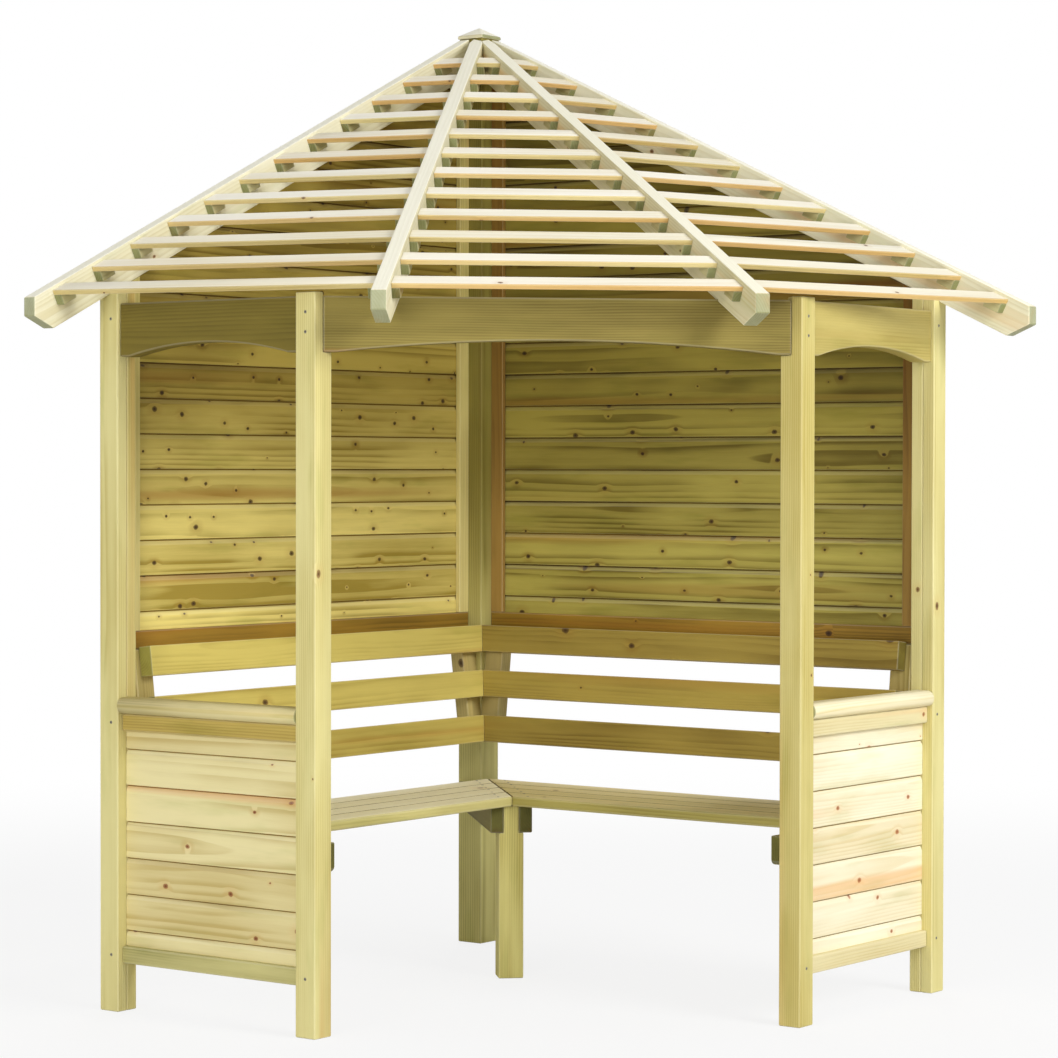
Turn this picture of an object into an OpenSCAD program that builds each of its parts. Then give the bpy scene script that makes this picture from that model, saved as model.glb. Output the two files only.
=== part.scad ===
// Corner garden arbor: an open softwood frame for the inside of a garden corner.
// Two boarded back walls meet square at a tall corner post. A low boarded wing closes each outer end,
// the front between the wings is open, and four rafters fan out from the corner post under open slats.
// Millimetres, +Z up. The origin is the middle of the corner post's foot, the open front faces -Y,
// and the left half is the mirror image of the right half in the plane X = 0.

/* [Overall] */
// Length of one back wall over its outer faces
wall_length = 1430; // [1200:10:1720]
// Length of one side wing over its outer faces
wing_length = 656; // [546:2:788]
// Height of the floor-standing front posts
front_post_height = 1650; // [1500:10:1980]

/* [Posts] */
// Side of the square corner post
corner_post = 76; // [70:1:90]
// Side of the square front posts
post = 57; // [50:1:64]
// Width of each half of the double end posts
half_post = 31; // [26:1:36]
// Depth of the notch in a wall rafter over the middle of a double end post
end_post_notch = 5.4; // [2:0.1:10]

/* [Roof] */
// Length of a rafter past the outer face of the end posts
rafter_overhang = 243; // [200:1:300]
// Depth of the notch in a front rafter at the front header's face
header_notch = 7.1; // [3:0.1:12]
// Rise of a rafter for each unit of its run
roof_rise = 0.47; // [0.45:0.01:0.5]
// Thickness of a rafter
rafter_w = 35; // [28:1:38]
// Depth of a rafter square to its top edge
rafter_depth = 88; // [73:1:106]
// Number of slats in each roof face
slat_count = 12; // [6:1:14]
// Width of a roof slat
slat_w = 45; // [36:1:60]
// Thickness of a roof slat
slat_t = 12; // [8:1:18]
// Drop of the slats' upper face below the rafters' top edges
slat_drop = 8; // [4:1:12]
// Thickness of the blocks that carry the slat ends
block_w = 18; // [12:1:19]
// Depth of the blocks that carry the slat ends
block_depth = 24; // [16:1:30]

/* [Headers] */
// Height of the front posts above the headers
post_horn = 8; // [2:1:15]
// Depth of a header at its ends
header_depth = 124; // [100:1:140]
// Thickness of a header
header_t = 44; // [32:1:48]
// Rise of the arch under a header
header_arch = 28; // [15:1:40]

/* [Walls and wings] */
// Height of the underside of the back walls
wall_bottom = 838; // [800:1:870]
// Depth of the rail under the back walls
wall_rail_depth = 42; // [30:1:60]
// Width of the cover battens
batten_w = 38; // [25:1:50]
// Thickness of the cover battens
batten_t = 14; // [10:1:20]
// Thickness of the wall boards
wall_board_t = 20; // [14:1:22]
// Height of the armrests' upper face
armrest_top = 730; // [700:1:750]
// Thickness of an armrest
armrest_t = 38; // [30:1:45]
// Width of an armrest
armrest_w = 64; // [58:1:66]
// Depth of the wings' top and bottom rails
wing_rail_depth = 40; // [30:1:55]
// Height of the underside of the wings
wing_bottom = 112; // [80:1:150]
// Thickness of the wing boards
wing_board_t = 17; // [12:1:22]

/* [Seat] */
// Height of the seat's upper face
seat_height = 453; // [430:1:480]
// Thickness of the seat slats
seat_t = 25; // [20:1:32]
// Width of a seat slat
seat_slat_w = 78; // [65:1:84]
// Gap between seat slats
seat_gap = 4; // [3:1:10]
// Distance from a wall's outer face to the seat's back edge
seat_setback = 173; // [165:1:190]
// Depth of the bearers under the seat
bearer_depth = 67; // [50:1:90]
// Thickness of the bearers under the seat
bearer_w = 33; // [25:1:40]
// Side of the leg under the seat's inner corner
leg_w = 62; // [50:1:70]

/* [Backrest] */
// Depth of a backrest rail
back_rail_depth = 70; // [55:1:80]
// Thickness of a backrest rail
back_rail_t = 38; // [20:1:40]
// Backward lean of the backrest in degrees
back_lean = 7; // [5:1:9]
// Height between the middles of neighbouring backrest rails
back_rail_pitch = 117.5; // [100:0.5:120]

/* [Hidden] */
$fn = 64;

timber = "#c9bd7c";
pale_timber = "#e8e2bf";
dark_timber = "#9b8c46";

// Places along a wall (x) and square to it (y), measured from the middle of the corner post's foot.
// The wall's outer face is at y = outer and the room lies on the side of negative y.
outer = corner_post / 2;
wall_end = wall_length - outer;
half_joint = wall_end - half_post;
wall_inner_end = wall_end - 2 * half_post;
post_inner_face = outer - post;
wing_end = outer - wing_length;
wing_inner_end = wing_end + post;
// The boards of a wall stand flush with the posts' outer faces.
board_inner_face = outer - wall_board_t;
wall_rail_t = wall_board_t + batten_t;

// Front header: its face stands behind the front posts' arrises by this much, and so do its ends.
header_inset = 19;
header_top = front_post_height - post_horn;
front_arris_x = (wall_end + wing_end) / sqrt(2);
front_arris_y = (wing_end - wall_end) / sqrt(2);
header_half = front_arris_x - header_inset;
header_front = front_arris_y + header_inset;
header_bottom = header_top - header_depth;
header_setback = 8;
header_shoulder = 30;

// Roof: every rafter leaves the corner post's middle, and neighbours are 30 degrees apart in plan.
// The front rafters sit in their notches on the front header, which sets the height of the whole roof.
fan_step = 30;
half_step = fan_step / 2;
rafter_reach = wall_end + rafter_overhang;
rafter_pitch = atan(roof_rise);
rafter_drop = rafter_depth / cos(rafter_pitch);
front_run = -header_front / cos(half_step);
rafter_apex = header_top - header_notch + rafter_drop + front_run * roof_rise;
rafter_tip_height = rafter_apex - rafter_reach * roof_rise;
corner_post_height = rafter_apex - outer * roof_rise + 2;
end_post_height = rafter_apex - half_joint * roof_rise - rafter_drop + end_post_notch;
tip_face = 43;
tip_cut_run = 61;
// A wall rafter stands off the fan's line, so that its outer side is flush with the wall.
wall_rafter_shift = outer - rafter_w / 2;
block_clearance = 1;
slat_clearance = 2;
// A roof face is a plane that holds the top edges of its two rafters.
face_rise = roof_rise / cos(half_step);
face_pitch = atan(face_rise);
first_slat_run = 198;
last_slat_run = rafter_reach - 52;
slat_step = (last_slat_run - first_slat_run) / (slat_count - 1);

// Wings
wing_rail_setback = 14;
wing_rail_t = 45;
wing_board_setback = 28;
armrest_overhang = 4;
wing_rail_top = armrest_top - armrest_t;

// Backrest: the bars' front faces pass this point, from which the lean is measured.
bar_w = 57;
bar_depth = 40;
lean_height = 680;
lean_offset = 69;
bar_bottom = 548;
end_bar_bottom = seat_height - seat_t - bearer_depth;
back_rail_middle = lean_height + 11;
back_rail_end = wall_inner_end - 15;

// Seat
seat_slats = 4;
seat_bottom = seat_height - seat_t;
seat_front = seat_setback + seat_slats * seat_slat_w + (seat_slats - 1) * seat_gap;
seat_end = wall_end - wing_rail_setback - wing_rail_t;
leg_tongue = 38;
leg_front = 15;
seat_corner_y = (outer - seat_front) * sqrt(2);
bearer_setback = 18;
bearer_round = 14;

far = 3000;

// Turns a piece drawn along the right wall into place.
module right_side() {
  rotate([0, 0, -45])
    children();
}

// Mirrors a piece drawn along the right wall to the left wall.
module left_side() {
  mirror([1, 0, 0])
    right_side()
      children();
}

// A square-edged timber between two opposite corners.
module timber_block(low, high) {
  translate(low)
    cube(high - low);
}

// An outline in the plane of x and z, made solid from y = low_y to y = high_y.
module upright_sheet(low_y, high_y) {
  translate([0, high_y, 0])
    rotate([90, 0, 0])
      linear_extrude(height = high_y - low_y)
        children();
}

// Keeps what lies on the right of the plane X = 0.
module right_half() {
  intersection() {
    children();
    timber_block([0, -far, -far], [far, far, far]);
  }
}

// ---- Posts ----

// The corner post's section, drawn in the directions of the walls.
module corner_column(height) {
  timber_block([-outer, -outer, 0], [outer, outer, height]);
}

module back_corner_post() {
  color(timber)
    right_side()
      corner_column(corner_post_height);
}

module end_post_half(from_x) {
  color(timber)
    timber_block([from_x, post_inner_face, 0], [from_x + half_post, outer, end_post_height]);
}

// A front post, drawn in the wall's directions, with its inner corner cut away above the header's underside.
module front_right_post_shape() {
  difference() {
    right_side()
      timber_block([wall_end - post, wing_end, 0], [wall_end, wing_inner_end, front_post_height]);
    timber_block([0, -far, header_bottom], [header_half, 0, far]);
  }
}

module front_right_post() {
  color(timber)
    front_right_post_shape();
}

module front_left_post() {
  color(timber)
    mirror([1, 0, 0])
      front_right_post_shape();
}

// ---- Headers ----

// Outline of a header with flat ends and an arched underside, from x = low to x = high.
module header_outline(low, high) {
  half_chord = (high - low) / 2 - header_shoulder;
  radius = (half_chord * half_chord + header_arch * header_arch) / (2 * header_arch);
  difference() {
    translate([low, header_bottom])
      square([high - low, header_depth]);
    translate([(low + high) / 2, header_bottom + header_arch - radius])
      circle(r = radius, $fn = 128);
  }
}

module front_header() {
  color(timber)
    upright_sheet(header_front, header_front + header_t)
      header_outline(-header_half, header_half);
}

// A side header runs square to the wall, between the end post and the front post.
module side_header() {
  color(timber)
    translate([wall_end - header_setback, 0, 0])
      rotate([0, 0, 90])
        upright_sheet(0, header_t)
          header_outline(wing_inner_end, post_inner_face);
}

// ---- Back walls ----

// Height of a rafter's top edge and underside above a point along the wall.
function rafter_top_at(x) = rafter_apex - x * roof_rise;
function rafter_under_at(x) = rafter_top_at(x) - rafter_drop;

// The boards of one wall as a single sheet, with a raking top under the rafter.
module wall_panel() {
  color(dark_timber)
    upright_sheet(board_inner_face, outer)
      polygon([
        [outer, wall_bottom + wall_rail_depth],
        [wall_inner_end, wall_bottom + wall_rail_depth],
        [wall_inner_end, rafter_under_at(wall_inner_end)],
        [outer, rafter_under_at(outer)]
      ]);
}

module wall_bottom_rail() {
  color(dark_timber)
    timber_block(
      [outer, outer - wall_rail_t, wall_bottom],
      [wall_inner_end, outer, wall_bottom + wall_rail_depth]);
}

// Two upright battens that cover the ends of the boards, cut off under the rafter.
module wall_battens() {
  for (low = [outer, wall_inner_end - batten_w])
    color(timber)
      upright_sheet(board_inner_face - batten_t, board_inner_face)
        polygon([
          [low, wall_bottom + wall_rail_depth],
          [low + batten_w, wall_bottom + wall_rail_depth],
          [low + batten_w, rafter_under_at(low + batten_w)],
          [low, rafter_under_at(low)]
        ]);
}

// ---- Wings ----

// A timber of a wing between the end post and the front post, set back from the posts' outer faces.
module wing_timber(setback, thickness, low_z, high_z) {
  timber_block(
    [wall_end - setback - thickness, wing_inner_end, low_z],
    [wall_end - setback, post_inner_face, high_z]);
}

module wing_panel() {
  color(pale_timber)
    wing_timber(wing_board_setback, wing_board_t,
      wing_bottom + wing_rail_depth, wing_rail_top - wing_rail_depth);
}

module wing_top_rail() {
  color(pale_timber)
    wing_timber(wing_rail_setback, wing_rail_t, wing_rail_top - wing_rail_depth, wing_rail_top);
}

module wing_bottom_rail() {
  color(pale_timber)
    wing_timber(wing_rail_setback, wing_rail_t, wing_bottom, wing_bottom + wing_rail_depth);
}

// An armrest with both long edges fully rounded.
module armrest() {
  round_r = armrest_t / 2;
  color(timber)
    translate([wall_end + armrest_overhang - armrest_w, post_inner_face, wing_rail_top])
      rotate([90, 0, 0])
        linear_extrude(height = post_inner_face - wing_inner_end) {
          translate([round_r, 0])
            square([armrest_w - armrest_t, armrest_t]);
          for (x = [round_r, armrest_w - round_r])
            translate([x, round_r])
              circle(r = round_r);
        }
}

// ---- Backrest ----

// Leans a piece drawn upright against the plane y = 0 back into the backrest's front plane.
module leaning() {
  translate([0, outer - lean_offset, lean_height])
    rotate([-back_lean, 0, 0])
      children();
}

// Three rails, mitred against those of the other wall in the plane X = 0 and cut round the corner post.
module backrest_rails() {
  for (step = [-1, 0, 1]) {
    rise = (step * back_rail_pitch + back_rail_middle - lean_height) / cos(back_lean);
    color(timber)
      difference() {
        right_half()
          right_side()
            leaning()
              timber_block(
                [-outer, -back_rail_t, rise - back_rail_depth / 2],
                [back_rail_end, 0, rise + back_rail_depth / 2]);
        back_corner_post();
      }
  }
}

// One leaning bar, cut level at both ends and kept on its own side of the plane X = 0.
module backrest_bar(low_x, bottom) {
  color(dark_timber)
    right_half()
      right_side()
        intersection() {
          leaning()
            timber_block([low_x, 0, -far / 4], [low_x + bar_w, bar_depth, far / 4]);
          timber_block([low_x, -far, bottom], [low_x + bar_w, far, wall_bottom]);
        }
}

module backrest_bars() {
  backrest_bar(outer, bar_bottom);
  backrest_bar(wall_inner_end - bar_w, end_bar_bottom);
}

// ---- Seat ----

module seat_slat_row() {
  for (i = [0 : seat_slats - 1]) {
    back_y = outer - seat_setback - i * (seat_slat_w + seat_gap);
    color(timber)
      right_half()
        right_side()
          timber_block([0, back_y - seat_slat_w, seat_bottom], [seat_end, back_y, seat_height]);
  }
}

// Bearer under the outer end of a seat, from the inner face of the front post back to the leaning end bar,
// with a rounded lower front corner.
module seat_end_bearer() {
  post_face = wall_end - post;
  front_y = wing_end + bearer_setback;
  back_y = outer - lean_offset;
  low_z = seat_bottom - bearer_depth;
  color(dark_timber)
    difference() {
      translate([post_face - bearer_w, 0, 0])
        rotate([90, 0, 90])
          linear_extrude(height = bearer_w)
            difference() {
              translate([front_y, low_z])
                square([back_y - front_y, bearer_depth]);
              difference() {
                translate([front_y - 1, low_z - 1])
                  square(bearer_round + 1);
                translate([front_y + bearer_round, low_z + bearer_round])
                  circle(r = bearer_round);
              }
            }
      leaning()
        timber_block([0, 0, -far / 4], [far, far, far / 4]);
    }
}

// Two bearers under the mitre, one on each side of the leg, cut to the faces of the corner post.
module seat_corner_bearers() {
  for (side = [0, 1])
    mirror([side, 0, 0])
      color(dark_timber)
        difference() {
          timber_block(
            [leg_tongue / 2, seat_corner_y + leg_front - 3, seat_bottom - bearer_depth],
            [leg_tongue / 2 + bearer_w, 0, seat_bottom]);
          back_corner_post();
        }
}

// The leg is rebated on both sides to take the bearers.
module seat_corner_leg() {
  low_y = seat_corner_y + leg_front;
  color(timber) {
    timber_block([-leg_w / 2, low_y, 0], [leg_w / 2, low_y + leg_w, seat_bottom - bearer_depth]);
    timber_block(
      [-leg_tongue / 2, low_y, seat_bottom - bearer_depth],
      [leg_tongue / 2, low_y + leg_w, seat_bottom]);
  }
}

// ---- Roof ----

// Turns a piece drawn along +X to a direction measured from the front, towards the right.
module fan(angle) {
  rotate([0, 0, angle - 90])
    children();
}

// The sector of the plan that belongs to one rafter.
module rafter_sector() {
  linear_extrude(height = far)
    polygon([
      [0, 0],
      [far * cos(half_step), -far * sin(half_step)],
      [far * cos(half_step), far * sin(half_step)]
    ]);
}

// A rafter along +X with a plumb tip and a cut-back lower corner.
module rafter_blank() {
  upright_sheet(-rafter_w / 2, rafter_w / 2)
    polygon([
      [0, rafter_top_at(0)],
      [0, rafter_under_at(0)],
      [rafter_reach - tip_cut_run, rafter_under_at(rafter_reach - tip_cut_run)],
      [rafter_reach, rafter_tip_height - tip_face],
      [rafter_reach, rafter_tip_height]
    ]);
}

// A wall rafter starts at the corner post's face and is notched over the double end post.
module wall_rafter() {
  color(pale_timber)
    difference() {
      translate([0, wall_rafter_shift, 0])
        rafter_blank();
      corner_column(far);
      timber_block([wall_inner_end - far / 10, -outer, 0], [wall_end, outer, end_post_height]);
    }
}

// A front rafter is notched over the front header.
module front_rafter(angle) {
  color(pale_timber)
    difference() {
      fan(angle)
        intersection() {
          rafter_blank();
          rafter_sector();
        }
      right_side()
        corner_column(far);
      timber_block([-header_half, header_front, 0], [header_half, header_front + 3 * header_t, header_top]);
    }
}

// Bands of one roof face, drawn for a face that looks along +X: one band under each slat's place.
module face_bands(drop, depth, run_w) {
  for (i = [0 : slat_count - 1]) {
    front = (first_slat_run + i * slat_step) * cos(half_step);
    translate([front, -far / 2, rafter_apex - front * face_rise])
      rotate([0, face_pitch, 0])
        translate([-run_w, 0, -drop - depth])
          cube([run_w, far, depth]);
  }
}

// Plan between the inner sides of the two rafters of a roof face. The rafter on the left of the face, looking
// outwards from the post, may stand off the fan's line by left_shift.
module face_plan(left_shift) {
  linear_extrude(height = far)
    intersection() {
      rotate(half_step)
        translate([0, left_shift - rafter_w / 2 - far])
          square(far);
      rotate(-half_step)
        translate([0, rafter_w / 2])
          square(far);
    }
}

// Plan of the two strips beside the rafters that the blocks fill.
// Each strip keeps to its own side of the face.
module block_plan(left_shift) {
  intersection() {
    rotate([0, 0, half_step])
      translate([0, left_shift - rafter_w / 2 - block_w, 0])
        cube([far, block_w, far]);
    timber_block([0, block_clearance / 2, 0], [far, far, far]);
  }
  intersection() {
    rotate([0, 0, -half_step])
      translate([0, rafter_w / 2, 0])
        cube([far, block_w, far]);
    timber_block([0, -far, 0], [far, -block_clearance / 2, far]);
  }
}

// What a roof slat is notched round: the right front post and the headers, each with a clearance.
module slat_notch() {
  c = slat_clearance;
  right_side() {
    timber_block(
      [wall_end - post - c, wing_end - c, 0],
      [wall_end + c, wing_inner_end + c, front_post_height + c]);
    timber_block(
      [wall_end - header_setback - header_t - c, wing_inner_end, 0],
      [wall_end - header_setback + c, post_inner_face, header_top + c]);
  }
  timber_block(
    [-header_half - c, header_front - c, 0],
    [header_half + c, header_front + header_t + c, header_top + c]);
}

module roof_slats(angle, left_shift) {
  color(pale_timber)
    difference() {
      fan(angle)
        intersection() {
          face_bands(slat_drop, slat_t, slat_w);
          face_plan(left_shift);
        }
      slat_notch();
    }
}

module slat_blocks(angle, left_shift) {
  color(timber)
    fan(angle)
      intersection() {
        face_bands(slat_drop + slat_t, block_depth, slat_w - 2);
        block_plan(left_shift);
      }
}

// A low pyramid over the corner post's end grain.
module apex_cap() {
  side = outer + 3;
  edge = 8;
  peak = 32;
  color(pale_timber)
    rotate([0, 0, -45])
      translate([0, 0, corner_post_height])
        polyhedron(
          points = [
            [-side, -side, 0], [side, -side, 0], [side, side, 0], [-side, side, 0],
            [-side, -side, edge], [side, -side, edge], [side, side, edge], [-side, side, edge],
            [0, 0, peak]
          ],
          faces = [
            [0, 1, 2, 3],
            [0, 4, 5, 1], [1, 5, 6, 2], [2, 6, 7, 3], [3, 7, 4, 0],
            [4, 8, 5], [5, 8, 6], [6, 8, 7], [7, 8, 4]
          ]);
}

back_corner_post();
left_side() end_post_half(half_joint);  // left_post_wing_half
left_side() end_post_half(wall_inner_end);  // left_post_wall_half
right_side() end_post_half(half_joint);  // right_post_wing_half
right_side() end_post_half(wall_inner_end);  // right_post_wall_half
front_left_post();
front_right_post();
front_header();
left_side() side_header();  // left_header
right_side() side_header();  // right_header
left_side() wall_panel();  // left_wall_panel
left_side() wall_bottom_rail();  // left_wall_bottom_rail
left_side() wall_battens();  // left_wall_battens
right_side() wall_panel();  // right_wall_panel
right_side() wall_bottom_rail();  // right_wall_bottom_rail
right_side() wall_battens();  // right_wall_battens
left_side() wing_panel();  // left_wing_panel
left_side() wing_top_rail();  // left_wing_top_rail
left_side() wing_bottom_rail();  // left_wing_bottom_rail
left_side() armrest();  // left_armrest
right_side() wing_panel();  // right_wing_panel
right_side() wing_top_rail();  // right_wing_top_rail
right_side() wing_bottom_rail();  // right_wing_bottom_rail
right_side() armrest();  // right_armrest
mirror([1, 0, 0]) backrest_rails();  // left_backrest_rails
mirror([1, 0, 0]) backrest_bars();  // left_backrest_bars
backrest_rails();  // right_backrest_rails
backrest_bars();  // right_backrest_bars
mirror([1, 0, 0]) seat_slat_row();  // left_seat_slats
left_side() seat_end_bearer();  // left_seat_end_bearer
seat_slat_row();  // right_seat_slats
right_side() seat_end_bearer();  // right_seat_end_bearer
seat_corner_bearers();
seat_corner_leg();
left_side() wall_rafter();  // left_wall_rafter
front_rafter(-half_step);  // left_front_rafter
front_rafter(half_step);  // right_front_rafter
right_side() wall_rafter();  // right_wall_rafter
mirror([1, 0, 0]) roof_slats(fan_step, wall_rafter_shift);  // left_roof_slats
roof_slats(0, 0);  // centre_roof_slats
roof_slats(fan_step, wall_rafter_shift);  // right_roof_slats
mirror([1, 0, 0]) slat_blocks(fan_step, wall_rafter_shift);  // left_slat_blocks
slat_blocks(0, 0);  // centre_slat_blocks
slat_blocks(fan_step, wall_rafter_shift);  // right_slat_blocks
apex_cap();
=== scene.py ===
# %% [markdown]
# # Corner garden arbor
# An open timber shelter for the inside of a garden corner. Two boarded back walls meet at a tall post, two
# low wings close the outer ends, a bench runs round the corner, and four rafters fan out with open slats
# between them.
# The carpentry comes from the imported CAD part. This script gives every timber its eased edges, its own grain
# and knots, replaces the plain sheets of the walls and wings with overlapping boards, and adds the screws.

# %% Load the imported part
import math
import random

import bmesh
import bpy
import numpy as np
from mathutils import Matrix, Vector


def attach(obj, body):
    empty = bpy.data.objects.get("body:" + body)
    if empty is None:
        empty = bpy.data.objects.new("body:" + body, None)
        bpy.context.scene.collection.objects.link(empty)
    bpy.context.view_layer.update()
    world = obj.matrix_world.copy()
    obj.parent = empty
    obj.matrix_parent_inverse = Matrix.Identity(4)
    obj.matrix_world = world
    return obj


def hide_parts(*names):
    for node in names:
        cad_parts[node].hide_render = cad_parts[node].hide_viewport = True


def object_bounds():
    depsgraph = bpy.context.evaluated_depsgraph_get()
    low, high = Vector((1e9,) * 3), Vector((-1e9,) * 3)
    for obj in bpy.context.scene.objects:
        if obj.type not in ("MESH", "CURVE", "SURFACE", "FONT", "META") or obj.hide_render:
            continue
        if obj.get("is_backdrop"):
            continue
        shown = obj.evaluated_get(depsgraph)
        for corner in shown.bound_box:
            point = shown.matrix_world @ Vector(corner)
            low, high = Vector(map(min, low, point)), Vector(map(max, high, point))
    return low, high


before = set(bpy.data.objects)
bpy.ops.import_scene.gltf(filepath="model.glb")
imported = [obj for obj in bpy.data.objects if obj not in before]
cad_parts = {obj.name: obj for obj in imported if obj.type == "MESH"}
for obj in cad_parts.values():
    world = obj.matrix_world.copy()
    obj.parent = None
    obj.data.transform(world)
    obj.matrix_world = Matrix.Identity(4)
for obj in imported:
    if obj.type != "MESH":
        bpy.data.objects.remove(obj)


def write_size(key, sizes):
    low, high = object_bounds()
    sizes[key] = {"low": [float(c) for c in low], "high": [float(c) for c in high]}
    return sizes


SIZES = write_size("cad", {})
print("CAD box", SIZES["cad"])

# %% [markdown]
# ## Directions of the building
# The walls run at 45 degrees to the axes, which makes every place on them awkward to write. So a place on the
# right wall is written as (along, out, up), where along is measured from the corner post's middle and out is
# square to the wall. The left half is its mirror image, so one matrix with its first axis turned over serves
# for it, and nothing is measured twice.

# %% Wall directions
ROOT = math.sqrt(0.5)
ALONG = Vector((ROOT, -ROOT, 0))
OUT = Vector((ROOT, ROOT, 0))
UP = Vector((0, 0, 1))


def wall_matrix(side):
    """Turns wall places into world places: side 1 is the right wall and side -1 is its mirror image."""
    m = Matrix((ALONG, OUT, UP)).transposed().to_4x4()
    return Matrix.Diagonal((side, 1, 1, 1)) @ m


def wall_place(side, along, out, up):
    return wall_matrix(side) @ Vector((along, out, up))


WALL_END = 1.392  # along a wall, from the corner post's middle to the outer face of the end post
print("right wall runs to", tuple(round(c, 3) for c in wall_place(1, WALL_END, 0, 0)))

# %% [markdown]
# ## Eased edges
# A planing mill takes the sharp arris off every length of garden timber, so light catches a thin line along
# each edge. A rounding node in the finish could fake that line. Here a welded copy of the CAD solid gets a
# real bevel instead, because the rounding then shows in the outline too, and the piece still keeps its size
# and stays inside the CAD box.

# %% Eased copies of the CAD solids
WELD = 2e-5  # corners closer than this are one corner
FLAT = 0.008  # radians: faces that meet flatter than this are one face
SHARP = 0.6  # radians: edges that turn more than this are eased


def eased_copy(node, ease, steps=2):
    """A welded copy of a CAD node's mesh with its edges rounded by ease, in metres."""
    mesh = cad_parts[node].data.copy()
    mesh.materials.clear()
    bm = bmesh.new()
    bm.from_mesh(mesh)
    bmesh.ops.remove_doubles(bm, verts=bm.verts, dist=WELD)
    bmesh.ops.dissolve_limit(bm, angle_limit=FLAT, verts=bm.verts, edges=bm.edges)
    sharp = [e for e in bm.edges if len(e.link_faces) == 2 and e.calc_face_angle(0) > SHARP]
    bmesh.ops.bevel(bm, geom=sharp, offset=ease, offset_type="OFFSET", segments=steps, profile=0.5,
                    affect="EDGES", clamp_overlap=True)
    bmesh.ops.remove_doubles(bm, verts=bm.verts, dist=WELD)
    bm.to_mesh(mesh)
    bm.free()
    return mesh


# %% [markdown]
# ## Grain that belongs to each length
# Every board is cut from its own place in a log, so no two show the same figure. One pattern laid over the
# whole shelter would run on from board to board. So for each separate solid the script finds its long
# direction and its broad face, and stores where each point lies in a log of its own ("grain"), how light or
# dark that length is ("board"), and which faces are sawn ends ("end"), eased edges ("worn") or look up
# ("top"). The finishes read these.

# %% Grain attributes
END_DOT = 0.6  # a face this square to the length is a sawn end
SIDE_DOT = 0.1  # a face this near to the length's own direction is one of its sides
FACE_DOT = 0.97  # a face less true than this to its solid's three directions is part of an eased edge
TOP_DOT = 0.8  # a face that looks up this much gets the painted light from above


def solids_of(bm):
    """Lists of faces, one list for each connected solid."""
    found, seen = [], set()
    for face in bm.faces:
        if face.index in seen:
            continue
        seen.add(face.index)
        group, todo = [], [face]
        while todo:
            f = todo.pop()
            group.append(f)
            for e in f.edges:
                for g in e.link_faces:
                    if g.index not in seen:
                        seen.add(g.index)
                        todo.append(g)
        found.append(group)
    return found


def write_grain(mesh, seed):
    """Stores each solid's place in a log, its shade and its kinds of face, and counts the solids."""
    rng = random.Random(seed)
    bm = bmesh.new()
    bm.from_mesh(mesh)
    bm.faces.ensure_lookup_table()
    bm.faces.index_update()
    grain = bm.verts.layers.float_vector.new("grain")
    board = bm.verts.layers.float.new("board")
    end = bm.faces.layers.float.new("end")
    worn = bm.faces.layers.float.new("worn")
    top = bm.faces.layers.float.new("top")
    groups = solids_of(bm)
    for faces in groups:
        edges = [e for f in faces for e in f.edges]  # lists, because a set's order changes from run to run
        verts = list(dict.fromkeys(v for f in faces for v in f.verts))
        long_edge = max(edges, key=lambda e: e.calc_length())
        x = (long_edge.verts[1].co - long_edge.verts[0].co).normalized()
        sides = [f for f in faces if abs(f.normal.dot(x)) < SIDE_DOT] or faces
        z = max(sides, key=lambda f: f.calc_area()).normal
        z = (z - x * z.dot(x)).normalized()
        y = z.cross(x)
        middle = sum((v.co for v in verts), Vector()) / len(verts)
        start, across = rng.uniform(0, 40), rng.uniform(-0.03, 0.03)
        depth = rng.uniform(0.02, 0.07) * rng.choice((-1, 1))
        pith = Vector((start, across, depth))
        shade = rng.random()
        for v in verts:
            p = v.co - middle
            v[grain] = pith + Vector((p.dot(x), p.dot(y), p.dot(z)))
            v[board] = shade
        for f in faces:
            dots = [abs(f.normal.dot(a)) for a in (x, y, z)]
            f[end] = 1.0 if dots[0] > END_DOT else 0.0
            f[worn] = 1.0 if max(dots) < FACE_DOT else 0.0
            # Faces that look up are marked for the painted light from above.
            f[top] = 1.0 if f.normal.z > TOP_DOT else 0.0
    bm.to_mesh(mesh)
    bm.free()
    return len(groups)


# %% [markdown]
# ## Softwood
# The timber is pressure-treated pine: pale straw, with a green cast from the treatment, narrow growth rings,
# darker summer wood, streaks of orange heartwood and small brown knots that push the rings aside. It could be
# painted flat, face by face. One node group that cuts each face out of a log is used instead, because long
# faces then show flames and stripes, sawn ends show arcs, and they agree where they meet at an edge.
# First come a colour helper and short names for making nodes.

# %% Node shortcuts
def linear(r, g, b):
    """A colour written as 0-255 display values, as linear light."""
    def one(c):
        c /= 255
        return c / 12.92 if c <= 0.04045 else ((c + 0.055) / 1.055) ** 2.4
    return (one(r), one(g), one(b), 1)


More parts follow.
